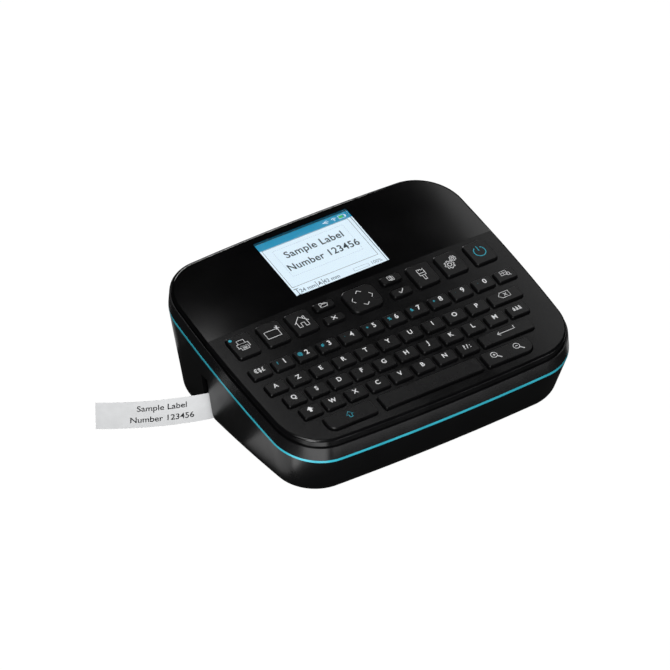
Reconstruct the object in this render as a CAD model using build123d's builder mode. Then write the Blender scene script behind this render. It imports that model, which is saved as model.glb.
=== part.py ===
"""Desktop label maker: keyboard, colour screen, tape cassette and printing mechanism.

Origin: centre of the body, on the surface it stands on. +X is the keyboard's right, +Y the back, +Z up.
The keyboard deck and the coloured belt line are both tilted about X, rising towards the back.
"""

import os
from math import atan2, cos, degrees, pi, radians, sin, sqrt, tan

from build123d import *

os.makedirs("parts", exist_ok=True)

# ---------------------------------------------------------------- driving dimensions (mm, degrees)
body_width = 205.6
body_depth = 162.0
edge_bow = 3.0
corner_radius = 30.0
belt_tilt = 12.5
belt_height = 48.0
strip_thickness = 1.5
rim_rise = 9.5
deck_tilt = 11.5
deck_height = 60.7
base_inset_x = 7.0
base_inset_y = 8.5
base_radius = 27.0
bottom_fillet = 12.0
foot_stand = 1.5
wall = 2.4
fit_gap = 0.2

# plates of the top face
rim_inset = 0.6
lip_width = 0.6
groove_width = 0.5
ledge_drop = 1.5
ledge_width = 2.0
ledge_thickness = 2.0
skirt_wall = 1.6
plate_thickness = 2.2
plate_edge_radius = 1.5
seam_y = 19.4
seam_bow = 1.4
seam_gap = 0.12

# keyboard
key_pitch = 15.65
key_width = 13.1
key_depth = 8.7
key_radius = 1.3
key_rise = 1.7
key_travel = 1.0
key_chamfer = 0.55
key_gap = 0.35
flange_lip = 0.55
flange_thickness = 0.8
flange_gap = 0.1
rocker_lift = 0.6
function_width = 15.2
function_depth = 17.6
small_width = 13.2
small_depth = 6.0
pad_width = 21.6
pad_depth = 18.6
wide_depth = 10.8
mat_thickness = 1.0
dome_height = 0.7
dome_radius = 2.4
board_thickness = 1.6

# screen
screen_width = 65.2
screen_depth = 47.0
screen_v = 51.1
lens_thickness = 2.0
lens_gap = 0.06
lcd_thickness = 3.4
lcd_border = 3.6
lcd_back_border = 2.0

# tape, cassette and mechanism
tape_width = 19.0
tape_thickness = 0.25
tape_y = 23.0
widest_tape = 26.0
cassette_length = 80.0
cassette_depth = 56.0
cassette_wall = 1.4
cassette_right = 12.0
roll_radius = 23.0
slot_front = 19.4
slot_back = 26.2
roller_radius = 4.0
head_travel = 3.0
blade_travel = 5.0
blade_gap = 2.5
tooth_module = 0.5
platen_teeth = 32
idler_teeth = 36
pinion_teeth = 12
cutter_teeth = 16
gear_thickness = 3.0
mesh_gap = 0.12
shaft_radius = 1.5
shaft_clearance = 0.06
frame_height = 37.5
frame_thickness = 2.0

# underside
cover_thickness = 2.0
hinge_radius = 1.6
pin_radius = 0.8
battery_length = 66.0
battery_width = 46.0
battery_height = 18.0
screw_x = 78.0
front_screw_y = -6.5
rear_screw_y = 47.0
boss_radius = 4.2
screw_head_radius = 2.8
screw_radius = 1.45

# ---------------------------------------------------------------- planes and derived places
floor_thickness = 2.4
floor_top = foot_stand + floor_thickness
belt_slope = tan(radians(belt_tilt))
deck_slope = tan(radians(deck_tilt))


def tilted_plane(height, tilt):
    """Plane through (0, 0, height) that rises towards +Y by the given tilt."""
    return Plane(origin=(0, 0, height), x_dir=(1, 0, 0), z_dir=(0, -sin(radians(tilt)), cos(radians(tilt))))


belt_plane = tilted_plane(belt_height, belt_tilt)
strip_top_plane = tilted_plane(belt_height + strip_thickness, belt_tilt)
rim_plane = tilted_plane(belt_height + rim_rise, belt_tilt)
ledge_plane = tilted_plane(belt_height + rim_rise - ledge_drop, belt_tilt)
deck_plane = tilted_plane(deck_height, deck_tilt)
deck_axis = Axis((0, 0, 0), tuple(deck_plane.z_dir))

base_width = body_width - 2 * base_inset_x
base_depth = body_depth - 2 * base_inset_y
deck_v_per_y = 1 / cos(radians(deck_tilt))
tall = body_width


def outline(width, depth, radius, bow=edge_bow):
    """Plan outline of the body: four bowed sides with rounded corners, as a face on Plane.XY."""
    half_width = width / 2
    half_depth = depth / 2
    corner_x = half_width - bow
    corner_y = half_depth - bow
    with BuildSketch(mode=Mode.PRIVATE) as plan:
        with BuildLine():
            ThreePointArc((-corner_x, -corner_y), (0, -half_depth), (corner_x, -corner_y))
            ThreePointArc((corner_x, -corner_y), (half_width, 0), (corner_x, corner_y))
            ThreePointArc((corner_x, corner_y), (0, half_depth), (-corner_x, corner_y))
            ThreePointArc((-corner_x, corner_y), (-half_width, 0), (-corner_x, -corner_y))
        make_face()
        fillet(plan.vertices(), radius)
    return plan.sketch


def inset_outline(inset):
    """The body's outline moved inwards by the given distance."""
    return outline(body_width - 2 * inset, body_depth - 2 * inset, corner_radius - inset)


def prism_between(face, low, high):
    """Upright prism on a plan face, cut off by a lower and an upper plane."""
    with BuildPart(mode=Mode.PRIVATE) as prism:
        with BuildSketch(Plane.XY.offset(-tall / 4)):
            add(face)
        extrude(amount=tall)
        split(bisect_by=low, keep=Keep.TOP)
        split(bisect_by=high, keep=Keep.BOTTOM)
    return prism.part


def finish(part, label):
    """Name a finished piece and write its STEP file."""
    part.label = label
    export_step(part, f"parts/{label}.step")


def belt_z(y):
    """Height of the belt plane at a depth."""
    return belt_height + belt_slope * y


def deck_z(y):
    """Height of the deck plane at a depth."""
    return deck_height + deck_slope * y


# keyboard rows: v is measured up the deck from the body's centre line
function_v = 7.2
upper_small_v = 12.9
lower_small_v = 1.3
number_v = -15.3
upper_v = -29.8
middle_v = -42.4
lower_v = -54.8
bottom_v = -68.2
function_x = [-83.3, -62.6, -42.6]
small_x = 23.6
number_x = [(index - 5.5) * key_pitch for index in range(12)]
upper_x = [-84.3 + index * key_pitch for index in range(10)]
middle_x = [-79.8 + index * key_pitch for index in range(11)]
lower_x = [-76.7 + index * key_pitch for index in range(8)]

# name, key centres, width, depth, corner radius, which outer front corner is large (-1, 0, 1)
key_table = [
    ("print_key", [(function_x[0], function_v)], function_width, function_depth, 2.0, 0),
    ("new_label_key", [(function_x[1], function_v)], function_width, function_depth, 2.0, 0),
    ("home_key", [(function_x[2], function_v)], function_width, function_depth, 2.0, 0),
    ("folder_key", [(-small_x, upper_small_v)], small_width, small_depth, 1.6, 0),
    ("cancel_key", [(-small_x, lower_small_v)], small_width, small_depth, 1.6, 0),
    ("insert_key", [(small_x, upper_small_v)], small_width, small_depth, 1.6, 0),
    ("ok_key", [(small_x, lower_small_v)], small_width, small_depth, 1.6, 0),
    ("format_key", [(-function_x[2], function_v)], function_width, function_depth, 2.0, 0),
    ("settings_key", [(-function_x[1], function_v)], function_width, function_depth, 2.0, 0),
    ("power_key", [(-function_x[0], function_v)], function_width, function_depth, 2.0, 0),
    ("number_keys", [(x, number_v) for x in number_x], key_width, key_depth, key_radius, 0),
    ("letter_keys_upper", [(x, upper_v) for x in upper_x], key_width, key_depth, key_radius, 0),
    ("backspace_key", [(76.2, upper_v)], 21.4, key_depth, key_radius, 0),
    ("letter_keys_middle", [(x, middle_v) for x in middle_x], key_width, key_depth, key_radius, 0),
    ("letter_keys_lower", [(x, lower_v) for x in lower_x], key_width, key_depth, key_radius, 0),
    ("enter_key", [(60.0, lower_v)], 35.8, key_depth, key_radius, 0),
    ("shift_key", [(-58.2, bottom_v)], 32.8, wide_depth, key_radius, -1),
    ("space_key", [(-2.2, bottom_v)], 69.0, wide_depth, key_radius, 0),
]
rocker_table = [
    ("navigation_pad", [(0.0, function_v)], pad_width, pad_depth, 4.6, 0),
    ("zoom_key", [(52.2, bottom_v)], 33.2, wide_depth, key_radius, 1),
]
large_corner = 5.5


def key_face(centres, width, depth, radius, big_side):
    """Rounded key outlines in the deck sketch that is open; big_side rounds one outer front corner more."""
    with BuildSketch(mode=Mode.PRIVATE) as cap:
        Rectangle(width, depth)
        front_corners = cap.vertices().group_by(Axis.Y)[0].sort_by(Axis.X)
        if big_side:
            big = front_corners[0 if big_side < 0 else -1]
            rest = [corner for corner in cap.vertices() if corner != big]
            fillet(rest, radius)
            big_again = cap.vertices().sort_by_distance((big_side * width / 2, -depth / 2))[0]
            fillet(big_again, large_corner)
        else:
            fillet(cap.vertices(), radius)
    with Locations(*centres):
        add(cap.sketch)


# ---------------------------------------------------------------- lower housing
# Screw places, seen from below: the front pair reaches the fascia, the rear pair the upper housing.
screw_places = [(side * screw_x, y) for side in (-1, 1) for y in (front_screw_y, rear_screw_y)]

# cassette bay, measured from the cassette
cassette_left = cassette_right - cassette_length
cassette_front = tape_y + 6.0 - cassette_depth
cassette_back = cassette_front + cassette_depth
cassette_cover = {
    "free": cassette_left - 1.0,
    "hinge": cassette_right + 3.0,
    "front": cassette_front - 3.0,
    "back": cassette_back + 2.5,
}
battery_left = 24.0
battery_cover_box = {
    "free": battery_left - 2.5,
    "hinge": battery_left + battery_width + 1.5,
    "front": -battery_length / 2 - 2.0,
    "back": battery_length / 2 + 3.5,
}
hinge_z = foot_stand + hinge_radius
lug_width = 7.0

foot_inset = 10.9
foot_width = 2.9
foot_depth = 1.1

jack_x = 32.0
jack_z = 18.0
jack_radius = 4.2
jack_bore = 2.75
jack_pin = 1.0
usb_x = 50.0
usb_width = 9.0
usb_height = 4.0
wall_rise = (jack_z - foot_stand) / (belt_z(body_depth / 2) - foot_stand)
wall_y_at_jack = base_depth / 2 + base_inset_y * wall_rise
socket_face_y = wall_y_at_jack - 0.9
io_board_y = wall_y_at_jack - 13.0

tilt_stretch = 1 / cos(radians(belt_tilt))


def housing_sections(inset, bottom):
    """Base and belt outlines of the tub, moved inwards, with the base outline at a height."""
    width = body_width - 2 * inset
    depth = body_depth - 2 * inset
    base = outline(base_width - 2 * inset, base_depth - 2 * inset, base_radius - inset)
    belt = outline(width, depth * tilt_stretch, corner_radius - inset)
    return [(Plane.XY.offset(bottom), base), (belt_plane, belt)]


outer_sections = housing_sections(0, foot_stand)
inner_sections = housing_sections(wall, floor_top)
foot_outer = outline(base_width - 2 * foot_inset, base_depth - 2 * foot_inset, base_radius - foot_inset)
foot_inner_inset = foot_inset + foot_width
foot_inner = outline(
    base_width - 2 * foot_inner_inset, base_depth - 2 * foot_inner_inset, base_radius - foot_inner_inset
)
platen_centre = (cassette_left - 7.5, tape_y + tape_thickness / 2 + 0.05 + roller_radius)
bearing_height = 1.5
shank_seat = 6.0

with BuildPart(mode=Mode.PRIVATE) as housing_cavity:
    for plane, face in inner_sections:
        with BuildSketch(plane):
            add(face)
    loft(ruled=True)
    fillet(housing_cavity.faces().sort_by(Axis.Z)[0].edges(), bottom_fillet - wall)

with BuildPart() as lower_housing:
    for plane, face in outer_sections:
        with BuildSketch(plane):
            add(face)
    loft(ruled=True)
    fillet(lower_housing.faces().sort_by(Axis.Z)[0].edges(), bottom_fillet)
    add(housing_cavity.part, mode=Mode.SUBTRACT)
    # screw bosses, each a tube up to the belt
    for x, y in screw_places:
        with BuildSketch(Plane.XY.offset(foot_stand)):
            with Locations((x, y)):
                Circle(boss_radius)
        extrude(amount=belt_z(y) - foot_stand - 1.0)
    # lugs that carry the hinge pins of both covers
    for box in (cassette_cover, battery_cover_box):
        for y in (box["front"] - lug_width / 2, box["back"] + lug_width / 2):
            with BuildSketch(Plane.XY.offset(foot_stand)):
                with Locations((box["hinge"], y)):
                    Rectangle(5.0, lug_width)
            extrude(amount=2 * hinge_radius + 1.4)
    # lower bearing of the platen roller
    with BuildSketch(Plane.XY.offset(foot_stand)):
        with Locations(platen_centre):
            Circle(3.2)
    extrude(amount=floor_thickness + bearing_height)
    # ribs that hold the socket board upright
    for x in (jack_x - 10.0, usb_x + 10.0):
        with BuildSketch(Plane.XY.offset(foot_stand)):
            with Locations((x, io_board_y)):
                Rectangle(3.0, 6.0)
        extrude(amount=14.0)
    with BuildSketch(Plane.XY.offset(foot_stand)):
        with Locations(((jack_x + usb_x) / 2, io_board_y)):
            Rectangle(usb_x - jack_x + 20.0, 1.6 + fit_gap)
    extrude(amount=14.0, mode=Mode.SUBTRACT)
    with BuildSketch(Plane.XY.offset(foot_stand)):
        with Locations(((jack_x + usb_x) / 2, io_board_y)):
            Rectangle(usb_x - jack_x + 20.0, 2.4)
    extrude(amount=floor_thickness)
    # cover openings with a clear strip round each hinge barrel
    for box in (cassette_cover, battery_cover_box):
        right = box["hinge"] + hinge_radius + fit_gap
        with BuildSketch(Plane.XY):
            with Locations(((box["free"] + right) / 2, (box["front"] + box["back"]) / 2)):
                Rectangle(right - box["free"], box["back"] - box["front"])
        extrude(amount=floor_top + 0.5, mode=Mode.SUBTRACT)
        with BuildSketch(Plane.XZ.offset(-box["front"] + lug_width - 1.5)):
            with Locations((box["hinge"], hinge_z)):
                Circle(pin_radius + 0.02)
        extrude(amount=-(box["back"] - box["front"] + 2 * lug_width - 3.0), mode=Mode.SUBTRACT)
    # screw tunnels
    for x, y in screw_places:
        with BuildSketch(Plane.XY):
            with Locations((x, y)):
                Circle(screw_head_radius + 0.2)
        extrude(amount=belt_z(y) - shank_seat, mode=Mode.SUBTRACT)
        with BuildSketch(Plane.XY):
            with Locations((x, y)):
                Circle(screw_radius + 0.1)
        extrude(amount=tall / 2, mode=Mode.SUBTRACT)
    with BuildSketch(Plane.XY.offset(floor_top)):
        with Locations(platen_centre):
            Circle(shaft_radius + shaft_clearance)
    extrude(amount=bearing_height, mode=Mode.SUBTRACT)
    # label slot in the left wall
    with BuildSketch(Plane.XZ.offset(-slot_front)):
        with Locations((-body_width / 2 + 8.0, 21.3)):
            RectangleRounded(22.0, 33.4, 1.2)
    extrude(amount=-(slot_back - slot_front), mode=Mode.SUBTRACT)
    # openings for the power jack and the data socket in the back wall
    with BuildSketch(Plane.XZ.offset(-wall_y_at_jack + 8.0)):
        with Locations((jack_x, jack_z)):
            Circle(jack_radius + fit_gap)
        with Locations((usb_x, jack_z)):
            RectangleRounded(usb_width + 0.6, usb_height + 0.6, 1.0)
    extrude(amount=-tall / 4, mode=Mode.SUBTRACT)
    # groove that holds the non-slip ring
    with BuildSketch(Plane.XY):
        add(foot_outer)
        add(foot_inner, mode=Mode.SUBTRACT)
    extrude(amount=foot_stand + foot_depth, mode=Mode.SUBTRACT)
finish(lower_housing.part, "lower_housing")

with BuildPart() as non_slip_ring:
    with BuildSketch(Plane.XY):
        add(foot_outer)
        add(foot_inner, mode=Mode.SUBTRACT)
    extrude(amount=foot_stand + foot_depth)
    chamfer(non_slip_ring.faces().sort_by(Axis.Z)[0].edges(), 0.4)
finish(non_slip_ring.part, "non_slip_ring")

# ---------------------------------------------------------------- coloured strip and upper housing
strip_ring = prism_between(inset_outline(-0.15) - inset_outline(3.2), belt_plane, strip_top_plane)
with BuildPart() as accent_strip:
    add(strip_ring)
finish(accent_strip.part, "accent_strip")

plate_inset = rim_inset + lip_width + groove_width
ring_cavity = prism_between(inset_outline(wall + 0.6), strip_top_plane, ledge_plane.offset(-ledge_thickness))
plate_recess = prism_between(inset_outline(rim_inset + lip_width), ledge_plane, deck_plane.offset(20))
opening_plan = inset_outline(plate_inset + ledge_width)
keyboard_back = 17.5
opening_gap = 0.5
screen_opening_front = (screen_v - screen_depth / 2 - lcd_border) / deck_v_per_y - opening_gap
screen_opening_back = body_depth / 2 - wall - 0.7
lcd_centre_v = screen_v + (lcd_back_border - lcd_border) / 2
lcd_depth = screen_depth + lcd_border + lcd_back_border

with BuildPart() as upper_housing:
    with BuildSketch(strip_top_plane):
        add(outline(body_width, body_depth * tilt_stretch, corner_radius))
    with BuildSketch(rim_plane):
        rim_width = body_width - 2 * rim_inset
        rim_depth = (body_depth - 2 * rim_inset) * tilt_stretch
        add(outline(rim_width, rim_depth, corner_radius - rim_inset))
    loft(ruled=True)
    add(ring_cavity, mode=Mode.SUBTRACT)
    add(plate_recess, mode=Mode.SUBTRACT)
    # opening under the keyboard
    with BuildSketch(Plane.XY):
        add(opening_plan)
        with Locations((0, keyboard_back + tall / 2)):
            Rectangle(2 * tall, tall, mode=Mode.SUBTRACT)
    extrude(amount=tall, mode=Mode.SUBTRACT)
    # opening under the screen
    with BuildSketch(Plane.XY):
        with Locations((0, (screen_opening_front + screen_opening_back) / 2)):
            Rectangle(
                screen_width + 2 * lcd_border + 2 * opening_gap, screen_opening_back - screen_opening_front
            )
    extrude(amount=tall, mode=Mode.SUBTRACT)
    # rear screw bosses
    for side in (-1, 1):
        with BuildSketch(Plane.XY.offset(belt_z(rear_screw_y) - 0.8)):
            with Locations((side * screw_x, rear_screw_y)):
                Circle(boss_radius - 0.6)
        extrude(amount=rim_rise - ledge_drop)
        with BuildSketch(Plane.XY.offset(belt_z(rear_screw_y) - 0.8)):
            with Locations((side * screw_x, rear_screw_y)):
                Circle(screw_radius + 0.05)
        extrude(amount=rim_rise - ledge_drop, mode=Mode.SUBTRACT)
finish(upper_housing.part, "upper_housing")

# ---------------------------------------------------------------- top plates: keyboard fascia and display panel
plate_outline = inset_outline(plate_inset)
plate_blank = prism_between(plate_outline, ledge_plane, deck_plane)
under_plane = deck_plane.offset(-plate_thickness)
plate_pocket = prism_between(inset_outline(plate_inset + skirt_wall), Plane.XY.offset(-1), under_plane)
front_post_z = belt_z(front_screw_y) - 0.8
board_post_v = -6.3
board_post_x = [-60.0, -30.0, 30.0, 60.0]
board_top = plate_thickness + flange_gap + flange_thickness + key_travel + 0.6 + dome_height + mat_thickness


def seam_region(front):
    """Plan region in front of or behind the curved seam between the two top plates."""
    shift = -seam_gap / 2 if front else seam_gap / 2
    edge_y = -tall if front else tall
    with BuildSketch(mode=Mode.PRIVATE) as region:
        with BuildLine():
            seam = ThreePointArc(
                (-body_width / 2, seam_y + shift), (0, seam_y + seam_bow + shift), (body_width / 2, seam_y + shift)
            )
            Polyline(seam @ 1, (body_width / 2, edge_y), (-body_width / 2, edge_y), seam @ 0)
        make_face()
    return region.sketch


with BuildPart() as keyboard_fascia:
    add(plate_blank)
    fillet(keyboard_fascia.faces().sort_by(deck_axis)[-1].edges(), plate_edge_radius)
    add(plate_pocket, mode=Mode.SUBTRACT)
    with BuildSketch(Plane.XY.offset(-tall / 4)):
        add(seam_region(True))
    extrude(amount=tall, mode=Mode.INTERSECT)
    # posts for the two front housing screws
    for side in (-1, 1):
        with BuildSketch(Plane.XY.offset(front_post_z)):
            with Locations((side * screw_x, front_screw_y)):
                Circle(boss_radius - 0.8)
        extrude(amount=deck_z(front_screw_y) - 1.2 - front_post_z)
        with BuildSketch(Plane.XY.offset(front_post_z)):
            with Locations((side * screw_x, front_screw_y)):
                Circle(screw_radius + 0.05)
        extrude(amount=10.0, mode=Mode.SUBTRACT)
    # short posts that carry the main board
    with BuildSketch(deck_plane.offset(-board_top)):
        with Locations(*[(x, board_post_v) for x in board_post_x]):
            Circle(2.6)
    extrude(amount=board_top - plate_thickness / 2)
    with BuildSketch(deck_plane.offset(-board_top)):
        with Locations(*[(x, board_post_v) for x in board_post_x]):
            Circle(1.0)
    extrude(amount=3.6, mode=Mode.SUBTRACT)
    # key openings
    for name, centres, width, depth, radius, big_side in key_table + rocker_table:
        with BuildSketch(under_plane.offset(-1)):
            key_face(centres, width + 2 * key_gap, depth + 2 * key_gap, radius + key_gap, big_side)
        extrude(amount=plate_thickness + 2, mode=Mode.SUBTRACT)
finish(keyboard_fascia.part, "keyboard_fascia")

with BuildPart() as display_panel:
    add(plate_blank)
    fillet(display_panel.faces().sort_by(deck_axis)[-1].edges(), plate_edge_radius)
    add(plate_pocket, mode=Mode.SUBTRACT)
    with BuildSketch(Plane.XY.offset(-tall / 4)):
        add(seam_region(False))
    extrude(amount=tall, mode=Mode.INTERSECT)
    with BuildSketch(under_plane.offset(-1)):
        with Locations((0, screen_v)):
            Rectangle(screen_width + 2 * lens_gap, screen_depth + 2 * lens_gap)
    extrude(amount=plate_thickness + 2, mode=Mode.SUBTRACT)
finish(display_panel.part, "display_panel")

with BuildPart() as screen_lens:
    with BuildSketch(deck_plane.offset(-lens_thickness)):
        with Locations((0, screen_v)):
            Rectangle(screen_width, screen_depth)
    extrude(amount=lens_thickness)
finish(screen_lens.part, "screen_lens")

with BuildPart() as lcd_module:
    with BuildSketch(under_plane.offset(-lcd_thickness)):
        with Locations((0, lcd_centre_v)):
            Rectangle(screen_width + 2 * lcd_border, lcd_depth)
    extrude(amount=lcd_thickness)
    chamfer(lcd_module.faces().sort_by(deck_axis)[0].edges(), 0.5)
finish(lcd_module.part, "lcd_module")

# ---------------------------------------------------------------- keys
flange_top = plate_thickness + flange_gap


def make_key(name, centres, width, depth, radius, big_side, lift):
    """One key, or one row of equal keys, with the retaining flange under the fascia."""
    low = flange_top + lift + flange_thickness
    with BuildPart() as keys:
        with BuildSketch(deck_plane.offset(-low)):
            key_face(centres, width, depth, radius, big_side)
        extrude(amount=low + key_rise)
        tops = keys.faces().group_by(deck_axis)[-1]
        chamfer(tops.edges(), key_chamfer)
        with BuildSketch(deck_plane.offset(-low)):
            key_face(centres, width + 2 * flange_lip, depth + 2 * flange_lip, radius + flange_lip, big_side)
        extrude(amount=flange_thickness)
    finish(keys.part, name)


for name, centres, width, depth, radius, big_side in key_table:
    make_key(name, centres, width, depth, radius, big_side, 0.0)
for name, centres, width, depth, radius, big_side in rocker_table:
    make_key(name, centres, width, depth, radius, big_side, rocker_lift)

# cross-shaped pivot under the navigation pad: it tilts up and down, the pad tilts left and right on it
rocker_bottom = flange_top + rocker_lift + flange_thickness
pivot_gap = 0.4
pivot_thickness = 0.4
pivot_arm = 7.0
with BuildPart() as navigation_pivot:
    with BuildSketch(deck_plane.offset(-rocker_bottom - pivot_gap - pivot_thickness)):
        with Locations((0, function_v)):
            Rectangle(pivot_arm, 3.0)
            Rectangle(3.0, pivot_arm)
    extrude(amount=pivot_thickness)
finish(navigation_pivot.part, "navigation_pivot")

# ---------------------------------------------------------------- keypad mat and main board
keypad_right = 89.5
keypad_front = -72.0
keypad_back = 16.0
keypad_centre = (0, (keypad_front + keypad_back) / 2)
board_margin = 0.8
board_shift_v = -(board_top + board_thickness) * sin(radians(deck_tilt))


def board_face(margin):
    """Outline of the board or the mat in the deck sketch that is open, inside the housing's opening."""
    inset = plate_inset + ledge_width + board_margin + margin
    corner_face = outline(
        body_width - 2 * inset, (body_depth - 2 * inset) * deck_v_per_y, corner_radius - inset
    )
    with BuildSketch(mode=Mode.PRIVATE) as board:
        with Locations(keypad_centre):
            RectangleRounded(2 * keypad_right - 2 * margin, keypad_back - keypad_front - 2 * margin, 5.0)
        with Locations((0, board_shift_v)):
            add(corner_face, mode=Mode.INTERSECT)
    add(board.sketch)


post_clearance = 0.5
mat_top = board_top - mat_thickness
wide_names = ("space_key", "shift_key", "zoom_key", "enter_key", "backspace_key")
dome_places = []
for name, centres, width, depth, radius, big_side in key_table + rocker_table:
    for x, v in centres:
        if name in wide_names:
            dome_places.append((x - width / 4, v))
            dome_places.append((x + width / 4, v))
        elif name == "navigation_pad":
            dome_places.extend([(x - 8.0, v), (x + 8.0, v), (x, v - 6.6), (x, v + 6.6)])
        else:
            dome_places.append((x, v))


def cut_post_holes(radius, margin):
    """Clear holes round the fascia's screw posts and board posts, in the part that is open."""
    with BuildSketch(Plane.XY) as screw_holes:
        with Locations((-screw_x, front_screw_y), (screw_x, front_screw_y)):
            Circle(boss_radius - 0.8 + post_clearance)
    extrude(screw_holes.sketch, amount=tall, mode=Mode.SUBTRACT)
    with BuildSketch(deck_plane.offset(-board_top - margin)) as board_holes:
        with Locations(*[(x, board_post_v) for x in board_post_x]):
            Circle(radius)
    extrude(board_holes.sketch, amount=2 * margin, mode=Mode.SUBTRACT)


with BuildPart() as keypad_mat:
    with BuildSketch(deck_plane.offset(-board_top)):
        board_face(0.6)
    extrude(amount=mat_thickness)
    with BuildSketch(deck_plane.offset(-mat_top)):
        with Locations(*dome_places):
            Circle(dome_radius)
    extrude(amount=dome_height)
    cut_post_holes(2.6 + post_clearance, 4.0)
finish(keypad_mat.part, "keypad_mat")

with BuildPart() as main_board:
    with BuildSketch(deck_plane.offset(-board_top - board_thickness)):
        board_face(0.0)
    extrude(amount=board_thickness)
    # processor, memory and radio module on the underside
    for x, v, width, depth, height in ((30.0, -30.0, 14.0, 14.0, 1.4), (52.0, -30.0, 9.0, 12.0, 1.2),
                                       (-40.0, -50.0, 16.0, 12.0, 2.2), (0.0, -26.0, 12.0, 16.0, 2.6)):
        with BuildSketch(deck_plane.offset(-board_top - board_thickness - height)):
            with Locations((x, v)):
                Rectangle(width, depth)
        extrude(amount=height)
    cut_post_holes(1.1, 4.0)
finish(main_board.part, "main_board")

board_under = board_top + board_thickness
with BuildPart() as board_screws:
    with BuildSketch(deck_plane.offset(-board_under - 1.3)):
        with Locations(*[(x, board_post_v) for x in board_post_x]):
            Circle(2.2)
    extrude(amount=1.3)
    with BuildSketch(deck_plane.offset(-board_under)):
        with Locations(*[(x, board_post_v) for x in board_post_x]):
            Circle(0.95)
    extrude(amount=board_thickness + 3.2)
finish(board_screws.part, "board_screws")

with BuildPart() as housing_screws:
    for x, y in screw_places:
        seat = belt_z(y) - shank_seat
        with BuildSketch(Plane.XY.offset(seat - 2.0)):
            with Locations((x, y)):
                Circle(screw_head_radius)
        extrude(amount=2.0)
        with BuildSketch(Plane.XY.offset(seat)):
            with Locations((x, y)):
                Circle(screw_radius)
        extrude(amount=shank_seat + 7.0)
finish(housing_screws.part, "housing_screws")

# ---------------------------------------------------------------- covers on the underside
cover_side_gap = 0.3


def make_cover(name, box):
    """Flush cover with a full-length hinge barrel and a thumb recess at its free edge."""
    front = box["front"] + cover_side_gap
    length = box["back"] - box["front"] - 2 * cover_side_gap
    free = box["free"] + cover_side_gap
    with BuildPart() as cover:
        with BuildSketch(Plane.XY.offset(foot_stand)):
            with Locations(((free + box["hinge"]) / 2, front + length / 2)):
                Rectangle(box["hinge"] - free, length)
        extrude(amount=cover_thickness)
        with BuildSketch(Plane.XZ.offset(-front)):
            with Locations((box["hinge"], hinge_z)):
                Circle(hinge_radius)
        extrude(amount=-length)
        with BuildSketch(Plane.XZ.offset(-front)):
            with Locations((box["hinge"], hinge_z)):
                Circle(pin_radius + shaft_clearance)
        extrude(amount=-length, mode=Mode.SUBTRACT)
        with BuildSketch(Plane.XY.offset(foot_stand)):
            with Locations((free + 6.0, front + length / 2)):
                SlotOverall(16.0, 6.0, rotation=90)
        extrude(amount=0.9, mode=Mode.SUBTRACT)
    finish(cover.part, name)


make_cover("cassette_cover", cassette_cover)
make_cover("battery_cover", battery_cover_box)

with BuildPart() as hinge_pins:
    for box in (cassette_cover, battery_cover_box):
        with BuildSketch(Plane.XZ.offset(-box["front"] + lug_width - 1.8)):
            with Locations((box["hinge"], hinge_z)):
                Circle(pin_radius)
        extrude(amount=-(box["back"] - box["front"] + 2 * lug_width - 3.6))
finish(hinge_pins.part, "hinge_pins")

# ---------------------------------------------------------------- tape cassette and label
cassette_bottom = foot_stand + cover_thickness + 0.5
cassette_height = tape_width + 2 * cassette_wall + 0.3
tape_bottom = cassette_bottom + cassette_wall + 0.1
tape_centre_z = tape_bottom + tape_width / 2
cassette_centre = ((cassette_left + cassette_right) / 2, (cassette_front + cassette_back) / 2)
roll_centre = (cassette_right - cassette_wall - roll_radius - 1.0, tape_y - roll_radius - 0.3)
spool_post = 3.0
supply_centre = (cassette_left + 16.0, cassette_front + 15.0)
takeup_centre = (cassette_left + 18.0, cassette_front + 37.0)
spool_places = [roll_centre, supply_centre, takeup_centre]

with BuildPart() as tape_cassette:
    with BuildSketch(Plane.XY.offset(cassette_bottom)):
        with Locations(cassette_centre):
            RectangleRounded(cassette_length, cassette_depth, 4.0)
    extrude(amount=cassette_height)
    chamfer(tape_cassette.faces().group_by(Axis.Z)[0].edges(), 0.5)
    with BuildSketch(Plane.XY.offset(cassette_bottom + cassette_wall)):
        with Locations(cassette_centre):
            RectangleRounded(cassette_length - 2 * cassette_wall, cassette_depth - 2 * cassette_wall, 2.6)
    extrude(amount=cassette_height - 2 * cassette_wall, mode=Mode.SUBTRACT)
    # posts that the spools turn on
    with BuildSketch(Plane.XY.offset(cassette_bottom)):
        with Locations(*spool_places):
            Circle(spool_post)
    extrude(amount=cassette_height)
    # tape exit in the left wall
    with BuildSketch(Plane.YZ.offset(cassette_left - 1)):
        with Locations((tape_y, tape_centre_z)):
            Rectangle(2.4, tape_width + 0.1)
    extrude(amount=cassette_wall + 2, mode=Mode.SUBTRACT)
finish(tape_cassette.part, "tape_cassette")


def make_spool(name, centre, radius):
    """Wound spool that turns on one of the cassette's posts."""
    with BuildPart() as spool:
        with BuildSketch(Plane.XY.offset(tape_bottom)):
            with Locations(centre):
                Circle(radius)
                Circle(spool_post + 0.1, mode=Mode.SUBTRACT)
        extrude(amount=tape_width)
        # ring groove between the wound tape and its hub
        with BuildSketch(Plane.XY.offset(tape_bottom + tape_width - 1.0)):
            with Locations(centre):
                Circle(spool_post + 2.0)
                Circle(spool_post + 1.2, mode=Mode.SUBTRACT)
        extrude(amount=1.0, mode=Mode.SUBTRACT)
    finish(spool.part, name)


make_spool("tape_roll", roll_centre, roll_radius)
make_spool("ribbon_supply_spool", supply_centre, 9.0)
make_spool("ribbon_takeup_spool", takeup_centre, 7.0)

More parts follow.
